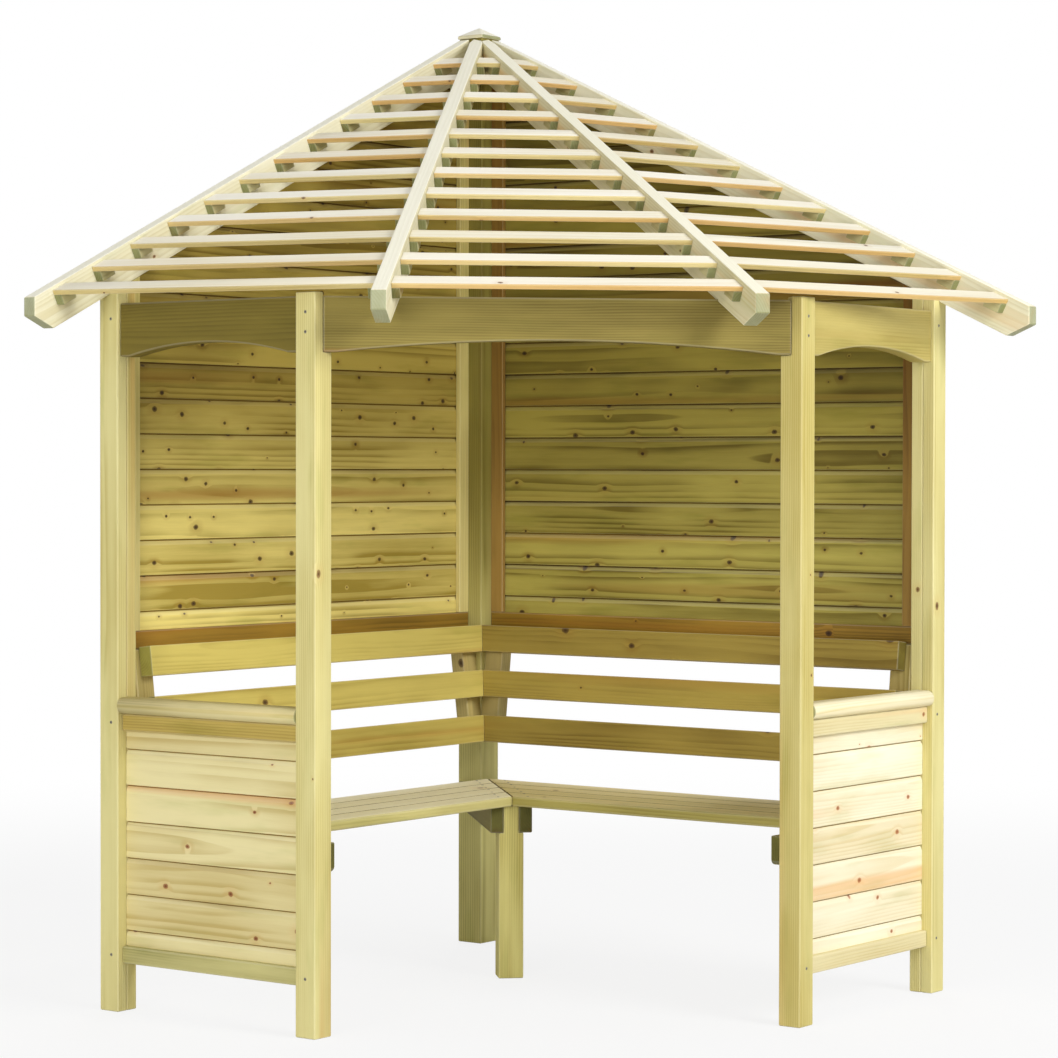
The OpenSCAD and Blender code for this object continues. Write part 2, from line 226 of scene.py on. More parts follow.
class Wires:
    """Short names for making and joining shader nodes."""

    def __init__(self, tree):
        self.tree = tree

    def put(self, socket, value):
        if isinstance(value, bpy.types.NodeSocket):
            self.tree.links.new(value, socket)
        else:
            socket.default_value = value

    def node(self, kind, **settings):
        n = self.tree.nodes.new(kind)
        for k, v in settings.items():
            setattr(n, k, v)
        return n

    def maths(self, op, a, b=0.0, c=0.0, clamp=False):
        n = self.node("ShaderNodeMath", operation=op, use_clamp=clamp)
        for socket, v in zip(n.inputs, (a, b, c)):
            self.put(socket, v)
        return n.outputs[0]

    def scaled(self, vector, scale, shift=(0, 0, 0)):
        n = self.node("ShaderNodeVectorMath", operation="MULTIPLY_ADD")
        self.put(n.inputs[0], vector)
        n.inputs[1].default_value = scale
        n.inputs[2].default_value = shift
        return n.outputs[0]

    def noise(self, vector, detail=2.0, rough=0.5):
        n = self.node("ShaderNodeTexNoise")
        self.put(n.inputs["Vector"], vector)
        n.inputs["Scale"].default_value = 1.0
        n.inputs["Detail"].default_value = detail
        n.inputs["Roughness"].default_value = rough
        return n.outputs["Fac"]

    def step(self, value, low, high):
        n = self.node("ShaderNodeMapRange", interpolation_type="SMOOTHSTEP")
        self.put(n.inputs["Value"], value)
        self.put(n.inputs["From Min"], low)
        self.put(n.inputs["From Max"], high)
        return n.outputs["Result"]

    def mix(self, share, a, b, blend="MIX"):
        n = self.node("ShaderNodeMix", data_type="RGBA", blend_type=blend)
        self.put(n.inputs["Factor"], share)
        self.put(n.inputs["A"], a)
        self.put(n.inputs["B"], b)
        return n.outputs["Result"]


# %% [markdown]
# Knots are where branches grew, so they lie at random, a hand or two apart, and each is a dark core in a
# brown disc with rings crowding round it. A cell pattern gives every branch a place, and a lucky draw for
# each cell says whether it holds a knot and how large it is, which keeps them sparse and uneven.

# %% Knots
def knot_marks(w, given, log, x, y, z):
    """The share of knot, of its dark core and of the halo round it."""
    flat = w.node("ShaderNodeCombineXYZ")
    w.put(flat.inputs[0], w.maths("MULTIPLY", x, 0.75))
    w.put(flat.inputs[1], w.maths("ADD", y, z))
    cells = w.node("ShaderNodeTexVoronoi", voronoi_dimensions="2D", feature="F1")
    w.put(cells.inputs["Vector"], flat.outputs[0])
    w.put(cells.inputs["Scale"], given["Knot Scale"])
    luck = w.node("ShaderNodeSeparateColor")
    w.put(luck.inputs[0], cells.outputs["Color"])
    holds = w.maths("LESS_THAN", luck.outputs[0], given["Knots"])
    away = w.maths("DIVIDE", cells.outputs["Distance"], given["Knot Scale"])
    uneven = w.noise(w.scaled(log, (90, 90, 90)))
    wobble = w.maths("MULTIPLY", w.maths("SUBTRACT", uneven, 0.5), 0.004)
    away = w.maths("ADD", away, wobble)
    growth = w.maths("MULTIPLY_ADD", luck.outputs[1], 1.2, 0.4)
    size = w.maths("MULTIPLY", given["Knot Size"], growth)
    ratio = w.maths("DIVIDE", away, size)
    return [w.maths("MULTIPLY", holds, w.step(ratio, outer, inner))
            for outer, inner in [(1.15, 0.75), (0.7, 0.2), (4.0, 1.0)]]


# %% [markdown]
# Growth rings are circles round the pith, bent by slow noise and pushed out by the knots. Each year ends in
# a dark band of late wood with a sharp outer edge, so the share of dark rises slowly through the year and
# falls at once. Broad and fine noises drawn out along the log give the flames, streaks and fibres.

# %% Growth rings
def ring_marks(w, given, log, y, z, halo):
    """The share of late wood, then the broad, streaky and fine figures along the log."""
    slow = w.maths("SUBTRACT", w.noise(w.scaled(log, (1.1, 8, 8))), 0.5)
    radius = w.maths("SQRT", w.maths("ADD", w.maths("POWER", y, 2.0), w.maths("POWER", z, 2.0)))
    radius = w.maths("MULTIPLY_ADD", slow, 0.022, radius)
    radius = w.maths("MULTIPLY_ADD", halo, 0.003, radius)
    turn = w.maths("FRACT", w.maths("DIVIDE", radius, given["Ring Width"]))
    late = w.maths("MULTIPLY", w.step(turn, 0.3, 0.9), w.step(turn, 1.0, 0.93))
    broad = w.noise(w.scaled(log, (2.2, 10, 10), (11, 5, 2)))
    streak = w.noise(w.scaled(log, (0.9, 55, 55), (3, 1, 7)), 3.0)
    fibre = w.noise(w.scaled(log, (18, 900, 900)), 2.0)
    return late, broad, streak, fibre


# %% [markdown]
# The figures are added up to one shade from pale to dark wood. Heartwood, the green of the treatment, painted
# light on the upper faces, knots, sawn ends, worn edges and painted shade with dirt in the seams are then laid
# over it one after another; the wood's own marks go in the order in which they come to a real board.

# %% Wood colour
GREEN_STAIN = (0.62, 0.68, 0.42, 1)  # these three multiply the wood's own colour
END_SHADE = (0.32, 0.38, 0.24, 1)
# painted shade, with some dirt, for seams and gaps
SEAM_SHADE = (0.36, 0.28, 0.14, 1)
CORE_BROWN = (0.012, 0.008, 0.004, 1)
WORN_PALE = (1, 0.97, 0.86, 1)


def wood_shade(w, given, board, late, broad, streak, fibre):
    """How dark the plain wood is, from 0 to 1."""
    shade = w.maths("MULTIPLY", w.maths("MULTIPLY", late, w.step(broad, 0.3, 0.62)), given["Rings"])
    shade = w.maths("MULTIPLY_ADD", w.maths("SUBTRACT", streak, 0.42), given["Streaks"], shade)
    for figure, middle, amount in [(broad, 0.4, 0.9), (board, 0.4, 0.6), (fibre, 0.5, 0.25)]:
        shade = w.maths("MULTIPLY_ADD", w.maths("SUBTRACT", figure, middle), amount, shade)
    return w.maths("ADD", shade, 0.12, clamp=True)


def heart_share(w, given, log):
    """Where orange heartwood shows: long patches, more of them as Heartwood rises."""
    heart = w.noise(w.scaled(log, (0.35, 16, 16), (5, 9, 1)), 1.5)
    edge = w.maths("SUBTRACT", 0.85, w.maths("MULTIPLY", given["Heartwood"], 0.5))
    return w.step(heart, w.maths("SUBTRACT", edge, 0.12), w.maths("ADD", edge, 0.06))


# %% The softwood group
def make_softwood():
    """The node group that every timber finish uses."""
    tree = bpy.data.node_groups.new("softwood", "ShaderNodeTree")
    face = tree.interface
    for name, value in [("Pale", (0.8, 0.7, 0.4, 1)), ("Dark", (0.5, 0.4, 0.2, 1)),
                        ("Heart", (0.6, 0.3, 0.1, 1)), ("Knot", (0.1, 0.05, 0.02, 1)),
                        ("Top Light Colour", (0.9, 0.85, 0.7, 1))]:
        face.new_socket(name, in_out="INPUT", socket_type="NodeSocketColor").default_value = value
    for name, value in [("Rings", 0.35), ("Streaks", 0.5), ("Heartwood", 0.3), ("Knots", 0.4),
                        ("Knot Scale", 9.0), ("Knot Size", 0.006), ("Stain", 0.3), ("Ring Width", 0.006),
                        ("Top Light Share", 0.0)]:
        face.new_socket(name, in_out="INPUT", socket_type="NodeSocketFloat").default_value = value
    face.new_socket("Color", in_out="OUTPUT", socket_type="NodeSocketColor")
    face.new_socket("Height", in_out="OUTPUT", socket_type="NodeSocketFloat")
    face.new_socket("Roughness", in_out="OUTPUT", socket_type="NodeSocketFloat")
    w = Wires(tree)
    given = w.node("NodeGroupInput").outputs
    log = w.node("ShaderNodeAttribute", attribute_name="grain").outputs["Vector"]
    board, end, worn, seam, top = (w.node("ShaderNodeAttribute", attribute_name=name).outputs["Fac"]
                                   for name in ("board", "end", "worn", "seam", "top"))
    part = w.node("ShaderNodeSeparateXYZ")
    w.put(part.inputs[0], log)
    x, y, z = part.outputs
    knot, core, halo = knot_marks(w, given, log, x, y, z)
    late, broad, streak, fibre = ring_marks(w, given, log, y, z, halo)
    shade = wood_shade(w, given, board, late, broad, streak, fibre)
    colour = w.mix(shade, given["Pale"], given["Dark"])
    colour = w.mix(w.maths("MULTIPLY", heart_share(w, given, log), 0.75), colour, given["Heart"])
    green = w.step(w.noise(w.scaled(log, (4, 22, 22), (2, 8, 3)), 3.0), 0.52, 0.75)
    colour = w.mix(w.maths("MULTIPLY", green, given["Stain"]), colour, GREEN_STAIN, "MULTIPLY")
    # Painted light: faces that look up are lightened towards their lit colour, standing in for light from
    # above.
    sunny = w.mix(w.maths("MULTIPLY", shade, 0.45), given["Top Light Colour"], given["Pale"])
    colour = w.mix(w.maths("MULTIPLY", top, given["Top Light Share"]), colour, sunny)
    colour = w.mix(w.maths("MULTIPLY", halo, 0.16), colour, given["Heart"])
    colour = w.mix(w.maths("MULTIPLY", knot, 0.8), colour, given["Knot"])
    colour = w.mix(w.maths("MULTIPLY", core, 0.85), colour, w.mix(0.55, given["Knot"], CORE_BROWN))
    colour = w.mix(w.maths("MULTIPLY", end, 0.8), colour, END_SHADE, "MULTIPLY")
    colour = w.mix(w.maths("MULTIPLY", worn, 0.08), colour, WORN_PALE)
    # Painted shade: faces marked as seams are darkened, with some dirt.
    colour = w.mix(seam, colour, SEAM_SHADE, "MULTIPLY")
    height = w.maths("MULTIPLY_ADD", late, 0.5, w.maths("MULTIPLY", fibre, 0.6))
    height = w.maths("SUBTRACT", height, w.maths("MULTIPLY", knot, 0.5))
    rough = w.maths("MULTIPLY_ADD", streak, 0.2, 0.56)
    out = w.node("NodeGroupOutput")
    w.put(out.inputs["Color"], colour)
    w.put(out.inputs["Height"], height)
    w.put(out.inputs["Roughness"], rough)
    return tree


SOFTWOOD = make_softwood()
print("softwood group:", len(SOFTWOOD.nodes), "nodes")


# %% [markdown]
# ## A finish for each pack of timber
# Every finish is the same wood with its own colours and its own amount of each feature. A finish can darken
# upwards, as painted shade under the roof, and can be lighter on its upper faces, as painted light from above,
# and a finish can have both. Colours are written as 0-255 display values, pale to dark, as a paint card would
# give them.

# %% A finish from the softwood group
PAINTED_TOP_LIGHT = 0.9  # how far the upper faces are painted towards their lit colour, as painted light from above
GRAIN_RELIEF = 0.0012  # metres between the hollows and ridges of the grain, for the bump


def timber(name, pale, dark, heart, knot, painted_roof_shade=None, top_light_colour=None, **amounts):
    """A finish made from the softwood group: four colours, and the amounts of its features.

    The colour for faces that look up is painted on them as light from above. The roof shade is (height,
    height, share): from the first height to the second, in metres, the wood turns to that share of its own
    colour, as painted shade under the roof."""
    material = bpy.data.materials.new(name)
    material.use_nodes = True
    w = Wires(material.node_tree)
    shader = material.node_tree.nodes["Principled BSDF"]
    wood = w.node("ShaderNodeGroup", node_tree=SOFTWOOD)
    for socket, colour in zip(("Pale", "Dark", "Heart", "Knot"), (pale, dark, heart, knot)):
        wood.inputs[socket].default_value = linear(*colour)
    if top_light_colour:
        wood.inputs["Top Light Colour"].default_value = linear(*top_light_colour)
        wood.inputs["Top Light Share"].default_value = PAINTED_TOP_LIGHT
    for key, value in amounts.items():
        wood.inputs[key.replace("_", " ").title()].default_value = value
    bump = w.node("ShaderNodeBump")
    bump.inputs["Strength"].default_value = 0.35
    bump.inputs["Distance"].default_value = GRAIN_RELIEF
    w.put(bump.inputs["Height"], wood.outputs["Height"])
    colour = wood.outputs["Color"]
    # Painted shade: the colour darkens from the first height to the second, standing in for the shade under
    # the roof.
    if painted_roof_shade:
        part = w.node("ShaderNodeSeparateXYZ")
        w.put(part.inputs[0], w.node("ShaderNodeTexCoord").outputs["Object"])
        low, high, kept = painted_roof_shade
        colour = w.mix(w.step(part.outputs[2], low, high), colour, (*kept, 1), "MULTIPLY")
    w.put(shader.inputs["Base Color"], colour)
    w.put(shader.inputs["Roughness"], wood.outputs["Roughness"])
    w.put(shader.inputs["Normal"], bump.outputs["Normal"])
    shader.inputs["Specular IOR Level"].default_value = 0.3
    return material


# %% [markdown]
# The lengths come from different packs, so their colour differs: cream for the roof and the wings, straw for
# the posts, olive gold for the wall boards, and a browner pack for the rails under them.

# %% The finishes
POST = timber("post_timber", (223, 213, 148), (190, 172, 94), (206, 164, 92), (126, 84, 40),
              knots=0.1, knot_scale=6.0, knot_size=0.005, heartwood=0.25, rings=0.4)
# The corner post's colour darkens upwards: painted shade under the roof's peak.
CORNER = timber("corner_post_timber", (230, 222, 146), (178, 166, 92), (172, 132, 66), (90, 62, 30),
                painted_roof_shade=(0.5, 1.3, (0.34, 0.31, 0.15)), knots=0.12, knot_scale=6.0, knot_size=0.005,
                rings=0.5)
# The headers' colours are darker than the posts' as painted shade under the slats, the left one most.
HEADER = timber("front_header_timber", (164, 148, 74), (112, 98, 42), (146, 106, 46), (90, 62, 30),
                knots=0.15, knot_scale=6.0, knot_size=0.007, heartwood=0.3)
HEADER_LEFT = timber("left_header_timber", (126, 111, 42), (88, 75, 22), (122, 86, 30), (70, 48, 22),
                     knots=0.15, knot_scale=6.0, knot_size=0.007)
HEADER_RIGHT = timber("right_header_timber", (198, 182, 108), (156, 138, 66), (172, 130, 64), (96, 62, 28),
                      knots=0.15, knot_scale=6.0, knot_size=0.007)
# The wall boards' colour darkens upwards: painted shade under the roof.
WALL_LEFT = timber("wall_board_timber_left", (236, 218, 128), (160, 138, 54), (170, 118, 44), (74, 46, 18),
                   painted_roof_shade=(0.95, 1.55, (0.50, 0.45, 0.27)), knots=0.7, knot_scale=14.0, knot_size=0.0042,
                   rings=0.55, ring_width=0.011, stain=0.5)
WALL_RIGHT = timber("wall_board_timber_right", (188, 176, 88), (114, 100, 34), (154, 104, 36), (66, 42, 16),
                    painted_roof_shade=(0.95, 1.55, (0.64, 0.60, 0.42)), knots=0.6, knot_scale=13.0, knot_size=0.0042,
                    rings=0.55, ring_width=0.011, heartwood=0.35, stain=0.5)
WALL_RAIL = timber("wall_rail_timber", (172, 134, 46), (110, 84, 22), (158, 100, 32), (60, 36, 16),
                   knots=0.25, knot_size=0.005, heartwood=0.4)
# The battens' colour darkens upwards: painted shade under the roof.
BATTEN_LEFT = timber("batten_timber_left", (222, 208, 138), (178, 156, 86), (196, 146, 78), (90, 60, 30),
                     painted_roof_shade=(0.9, 1.6, (0.80, 0.78, 0.66)), knots=0.1)
BATTEN_RIGHT = timber("batten_timber_right", (168, 134, 66), (116, 86, 36), (150, 100, 42), (70, 44, 20),
                      painted_roof_shade=(0.9, 1.6, (0.72, 0.66, 0.46)), knots=0.1)
BLOCK = timber("block_timber", (206, 200, 152), (158, 150, 98), (170, 140, 80), (90, 62, 34), knots=0.05)
WING_LEFT = timber("wing_board_timber_left", (236, 224, 168), (198, 176, 110), (222, 170, 104), (152, 86, 44),
                   knots=0.55, knot_scale=11.0, knot_size=0.0045, rings=0.5, ring_width=0.010)
WING_RIGHT = timber("wing_board_timber_right", (248, 242, 214), (226, 208, 160), (236, 190, 132),
                    (186, 112, 60), knots=0.5, knot_scale=11.0, knot_size=0.0045)
WING_RAIL_LEFT = timber("wing_rail_timber_left", (204, 180, 96), (156, 130, 54), (186, 138, 62),
                        (110, 68, 32), knots=0.2, stain=0.5)
WING_FOOT_LEFT = timber("wing_foot_timber_left", (206, 198, 134), (156, 148, 88), (186, 148, 84),
                        (110, 74, 38), knots=0.2, stain=0.8)
WING_RAIL_RIGHT = timber("wing_rail_timber_right", (226, 214, 166), (196, 174, 112), (232, 180, 116),
                         (176, 110, 58), knots=0.2)
# Rafters, slats and seats take painted light on their upper faces.
RAFTER = timber("rafter_timber", (236, 231, 202), (208, 196, 148), (228, 190, 130), (140, 92, 48),
                top_light_colour=(250, 247, 230), knots=0.25, knot_scale=6.0, knot_size=0.005)
SLAT = timber("slat_timber", (222, 204, 144), (184, 162, 98), (206, 160, 92), (120, 78, 38),
              top_light_colour=(252, 249, 236), knots=0.2, knot_scale=8.0, knot_size=0.004, heartwood=0.6)
SEAT_LEFT = timber("seat_timber_left", (216, 206, 136), (172, 158, 90), (206, 158, 84), (120, 80, 40),
                   top_light_colour=(255, 249, 220), knots=0.25, knot_scale=7.0, knot_size=0.006)
# The right seat's colours are darker than the left's as painted shade, where that seat lay in shade.
SEAT_RIGHT = timber("seat_timber_right", (180, 168, 92), (132, 118, 54), (190, 142, 70), (110, 72, 36),
                    top_light_colour=(226, 210, 150), knots=0.25, knot_scale=7.0, knot_size=0.006)
BACK_LEFT = timber("back_rail_timber_left", (210, 192, 102), (158, 134, 54), (186, 138, 60), (90, 58, 26),
                   knots=0.2, knot_scale=7.0, knot_size=0.006)
BACK_RIGHT = timber("back_rail_timber_right", (176, 154, 72), (120, 98, 36), (160, 112, 42), (76, 50, 24),
                    knots=0.2, knot_scale=7.0, knot_size=0.006, heartwood=0.4)
# Painted shade: the bearers' colours are darkened for the shade under the seat.
SHADED = timber("bearer_timber", (150, 138, 68), (102, 90, 36), (124, 88, 36), (60, 42, 20), knots=0.1)
LEG = timber("leg_timber", (222, 212, 134), (180, 164, 84), (190, 150, 84), (110, 74, 38), knots=0.1,
             knot_size=0.004, rings=0.5)
ARMREST_LEFT = timber("armrest_timber_left", (226, 212, 152), (182, 166, 100), (216, 172, 104), (140, 90, 46),
                      knots=0.25, knot_scale=7.0, knot_size=0.006, stain=0.5)
ARMREST_RIGHT = timber("armrest_timber_right", (246, 239, 210), (220, 204, 150), (230, 186, 122),
                       (150, 96, 50), knots=0.25, knot_scale=7.0, knot_size=0.006)
BAR = timber("bar_timber", (202, 184, 118), (150, 132, 70), (176, 132, 72), (84, 58, 28), knots=0.1)
print(len(bpy.data.materials), "finishes")

# %% [markdown]
# ## A piece for each named timber
# The real shelter comes as a pack of cut lengths, and each CAD node is one of them or one set of equal ones.
# So each node becomes one piece, with its own finish and its own seed, and nothing has to be placed again.

# %% Showing a piece
def show(name, mesh, material, nodes, seed):
    """Puts a finished mesh in the scene in place of the CAD nodes it stands for."""
    solids = write_grain(mesh, seed)
    mesh.materials.clear()
    mesh.materials.append(material)
    for p in mesh.polygons:
        p.material_index = 0
    piece = bpy.data.objects.new(name, mesh)
    bpy.context.scene.collection.objects.link(piece)
    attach(piece, "root")
    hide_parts(*nodes)
    print(name, solids, "solids,", len(mesh.polygons), "faces")


def dress(node, material, ease, seed, steps=2):
    """Shows a CAD node with eased edges and its own grain."""
    show(node + "_timber", eased_copy(node, ease, steps), material, [node], seed)


# %% [markdown]
# Posts are planed square stock with about 3 mm taken off each edge. Each end post is two lengths side by side,
# so a fine dark line shows where they meet. A line could be drawn on one wide post, but two eased lengths give
# the real groove. The corner post stands under the roof's peak, so its colour is painted darker upwards, as
# the roof's shade.

# %% Posts
dress("back_corner_post", CORNER, 0.003, 11)
for i, node in enumerate(["left_post_wing_half", "left_post_wall_half", "right_post_wing_half",
                          "right_post_wall_half", "front_left_post", "front_right_post"]):
    dress(node, POST, 0.003, 20 + i)

# %% [markdown]
# Headers span the way in and each open side above the wings. Each is one length sawn to a shallow arch along
# its lower edge. The arch is cut in the CAD part, and the bevel here is the router's pass along it, a little
# wider than on the posts. All three hang under the slats, so their colours are painted darker than the posts',
# as painted shade, the left one most.

# %% Headers
for i, (node, finish) in enumerate([("front_header", HEADER), ("left_header", HEADER_LEFT),
                                    ("right_header", HEADER_RIGHT)]):
    dress(node, finish, 0.004, 30 + i)

# %% [markdown]
# A rail closes the wall boards below, two close the wing boards above and below, battens hold the wall boards
# from inside, and an armrest lies on each wing. They are plain lengths, so the eased CAD solids do for them.
# The two sides were filled from different packs, so each side has its own finish.

# %% Rails, battens and armrests
for i, (side, batten, rail, foot, armrest) in enumerate([
        ("left", BATTEN_LEFT, WING_RAIL_LEFT, WING_FOOT_LEFT, ARMREST_LEFT),
        ("right", BATTEN_RIGHT, WING_RAIL_RIGHT, WING_RAIL_RIGHT, ARMREST_RIGHT)]):
    dress(side + "_wall_bottom_rail", WALL_RAIL, 0.003, 40 + i)
    dress(side + "_wall_battens", batten, 0.002, 42 + i)
    dress(side + "_wing_top_rail", rail, 0.004, 44 + i)
    dress(side + "_wing_bottom_rail", foot, 0.004, 46 + i)
    dress(side + "_armrest", armrest, 0.0015, 48 + i, 1)

# %% [markdown]
# The bench has mitred seat slats with well rounded edges, three mitred back rails, the leaning bars behind
# them, and the bearers and leg under the seat. The bearers' colour is painted darker, as the shade under the
# seat. The sides of the seat slats in their narrow gaps are painted dark, as painted shade where dirt also
# gathers. Light would find its way into such a gap, so those faces are marked to be dark, all but the front
# edge, which stands free.

# %% Bench
# how strongly the gaps take the painted shade
GAP_SHADE = 0.85
FRONT_STRIP = 0.02  # metres: faces nearer to the seat's front than this are its front edge


def shade_gaps(mesh, side):
    """Marks the upright faces of the seat slats, except the front edge, for painted shade in the gaps."""
    back = wall_matrix(side).inverted()
    front = min((back @ v.co).y for v in mesh.vertices)
    mark = mesh.attributes.new("seam", "FLOAT", "FACE")
    for p in mesh.polygons:
        hidden = abs(p.normal.z) < 0.75 and (back @ p.center).y > front + FRONT_STRIP
        mark.data[p.index].value = GAP_SHADE if hidden else 0.0
    return mesh


for i, (side, word, seat, rail) in enumerate([(-1, "left", SEAT_LEFT, BACK_LEFT),
                                              (1, "right", SEAT_RIGHT, BACK_RIGHT)]):
    node = word + "_seat_slats"
    show(node + "_timber", shade_gaps(eased_copy(node, 0.005, 3), side), seat, [node], 60 + i)
    dress(word + "_backrest_rails", rail, 0.004, 62 + i, 3)
    dress(word + "_backrest_bars", BAR, 0.003, 64 + i)
    dress(word + "_seat_end_bearer", SHADED, 0.003, 66 + i)
dress("seat_corner_bearers", SHADED, 0.003, 68)
dress("seat_corner_leg", LEG, 0.003, 69)

# %% [markdown]
# The roof has four rafters, slats in each of its three bays, the small blocks that carry them, and a cap where
# the rafters meet. It stands in the sun, so its upper faces are painted lighter, as painted light from above.
# The slats could be repeated by a tree, but they grow shorter towards the peak and their ends follow the bay,
# so the CAD solids are kept.

# %% Roof
for i, node in enumerate(["left_wall_rafter", "left_front_rafter",
                          "right_front_rafter", "right_wall_rafter"]):
    dress(node, RAFTER, 0.003, 80 + i)
for i, side in enumerate(["left", "centre", "right"]):
    dress(side + "_roof_slats", SLAT, 0.002, 84 + i)
    dress(side + "_slat_blocks", BLOCK, 0.001, 88 + i, 1)
dress("apex_cap", RAFTER, 0.002, 92)

# %% [markdown]
# ## Boards that overlap
# Walls and wings are shiplap: the lower edge of each board stands over a rebate in the board below, whose
# upper edge is scooped out, which leaves a dark line with a soft band under it. Grooves drawn by a bump would
# lose that line from the side. So one length is drawn as a section, and a Geometry Nodes tree stacks it at
# the boards' pitch. On a wall the tree also cuts the ends along the slope of the rafter.

# %% The section of one board
def board_section(pitch, thick):
    """Corners of a board's end, as (depth behind the face, height), round from its lower front edge."""
    lap, gap, cove, ease = 0.008, 0.0034, 0.0055, 0.0012
    tongue_top, tongue_back, shoulder = pitch + lap - 0.002, thick - 0.006, pitch - 0.001
    scoop = [(depth, pitch - below) for depth, below in
             [(0.0, 0.0150), (0.0004, 0.0130), (0.0014, 0.0100), (0.0028, 0.0070), (cove, gap)]]
    tongue = [(cove, tongue_top), (tongue_back, tongue_top), (tongue_back, shoulder), (thick, shoulder)]
    rebate = [(thick, lap), (cove - 0.0005, lap), (cove - 0.0005, 0.0)]
    return [(ease, 0.0), (0.0, ease)] + scoop + tongue + rebate, pitch - gap


def board_mesh(name, length, pitch, thick):
    """One board in wall places: along x from 0, its face at y = 0, thick outwards, and pitch high."""
    section, joint = board_section(pitch, thick)
    n = len(section)
    verts = [(x, y, z) for x in (0.0, length) for y, z in section]
    faces = [list(range(n)), list(range(2 * n - 1, n - 1, -1))]
    faces += [[i, n + i, n + (i + 1) % n, (i + 1) % n] for i in range(n)]
    mesh = bpy.data.meshes.new(name)
    mesh.from_pydata(verts, [], faces)
    bm = bmesh.new()
    bm.from_mesh(mesh)
    bmesh.ops.recalc_face_normals(bm, faces=bm.faces)
    # The faces in the recess behind each joint are marked for painted shade, where dirt also gathers.
    seam = bm.faces.layers.float.new("seam")
    for f in bm.faces:
        centre = f.calc_center_median()
        f[seam] = 1.0 if centre.z > joint + 0.0001 and centre.y < thick - 0.007 else 0.0
    bm.to_mesh(mesh)
    bm.free()
    return mesh


# %% The tree that stacks it
def stacking_tree():
    """Geometry Nodes: stacks the given board, trims the stack to a slope and sets its material."""
    tree = bpy.data.node_groups.new("stacked_boards", "GeometryNodeTree")
    face = tree.interface
    face.new_socket("Geometry", in_out="INPUT", socket_type="NodeSocketGeometry")
    for name, kind, value in [("Boards", "NodeSocketInt", 10), ("Pitch", "NodeSocketFloat", 0.084),
                              ("Low", "NodeSocketFloat", 0.0), ("High", "NodeSocketFloat", 3.0),
                              ("Slope Top", "NodeSocketFloat", 9.0), ("Slope", "NodeSocketFloat", 0.47)]:
        face.new_socket(name, in_out="INPUT", socket_type=kind).default_value = value
    face.new_socket("Material", in_out="INPUT", socket_type="NodeSocketMaterial")
    face.new_socket("Geometry", in_out="OUTPUT", socket_type="NodeSocketGeometry")
    w = Wires(tree)
    given = w.node("NodeGroupInput").outputs
    line = w.node("GeometryNodeMeshLine")
    w.put(line.inputs["Count"], given["Boards"])
    step = w.node("ShaderNodeCombineXYZ")
    w.put(step.inputs[2], given["Pitch"])
    w.put(line.inputs["Offset"], step.outputs[0])
    many = w.node("GeometryNodeInstanceOnPoints")
    w.put(many.inputs["Points"], line.outputs[0])
    w.put(many.inputs["Instance"], given["Geometry"])
    real = w.node("GeometryNodeRealizeInstances")
    w.put(real.inputs[0], many.outputs[0])
    here = w.node("ShaderNodeSeparateXYZ")
    w.put(here.inputs[0], w.node("GeometryNodeInputPosition").outputs[0])
    x, y, z = here.outputs
    z = w.maths("MINIMUM", w.maths("MAXIMUM", z, given["Low"]), given["High"])
    reach = w.maths("DIVIDE", w.maths("SUBTRACT", given["Slope Top"], z), given["Slope"])
    x = w.maths("MINIMUM", x, w.maths("MAXIMUM", reach, 0.0))
    there = w.node("ShaderNodeCombineXYZ")
    for socket, v in zip(there.inputs, (x, y, z)):
        w.put(socket, v)
    move = w.node("GeometryNodeSetPosition")
    w.put(move.inputs["Geometry"], real.outputs[0])
    w.put(move.inputs["Position"], there.outputs[0])
    paint = w.node("GeometryNodeSetMaterial")
    w.put(paint.inputs["Geometry"], move.outputs[0])
    w.put(paint.inputs["Material"], given["Material"])
    w.put(w.node("NodeGroupOutput").inputs[0], paint.outputs[0])
    return tree


def run_tree(name, mesh, tree, inputs):
    """Runs a tree on a mesh and gives back the finished plain mesh."""
    worker = bpy.data.objects.new(name + "_worker", mesh)
    bpy.context.scene.collection.objects.link(worker)
    modifier = worker.modifiers.new("nodes", "NODES")
    modifier.node_group = tree
    sockets = {s.name: s.identifier for s in tree.interface.items_tree if s.in_out == "INPUT"}
    for key, value in inputs.items():
        modifier[sockets[key]] = value
    bpy.context.view_layer.update()
    done = bpy.data.meshes.new_from_object(worker.evaluated_get(bpy.context.evaluated_depsgraph_get()))
    bpy.data.objects.remove(worker)
    return done


SQUEEZED = 1e-5  # metres: what the slope has pressed flatter than this is merged


def settle(mesh, matrix):
    """Moves a finished mesh to its place, merges what was squeezed flat and points the faces outwards."""
    mesh.transform(matrix)
    bm = bmesh.new()
    bm.from_mesh(mesh)
    bmesh.ops.remove_doubles(bm, verts=bm.verts, dist=SQUEEZED)
    bmesh.ops.dissolve_degenerate(bm, dist=SQUEEZED, edges=bm.edges)
    bmesh.ops.recalc_face_normals(bm, faces=bm.faces)
    bm.to_mesh(mesh)
    bm.free()
    return mesh


STACK = stacking_tree()
print("stacking tree:", len(STACK.nodes), "nodes")


# %% [markdown]
# The wall boards run from the corner post to the end post, and the top ones follow the rafter down. The plain
# CAD sheet gives their bounds, and the height of one joint on it gives them all.

# %% Wall boards
def points_on_wall(node, side):
    """The corners of a CAD node in wall places, one to a row, in metres."""
    back = wall_matrix(side).inverted()
    return np.array([back @ v.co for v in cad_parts[node].data.vertices])


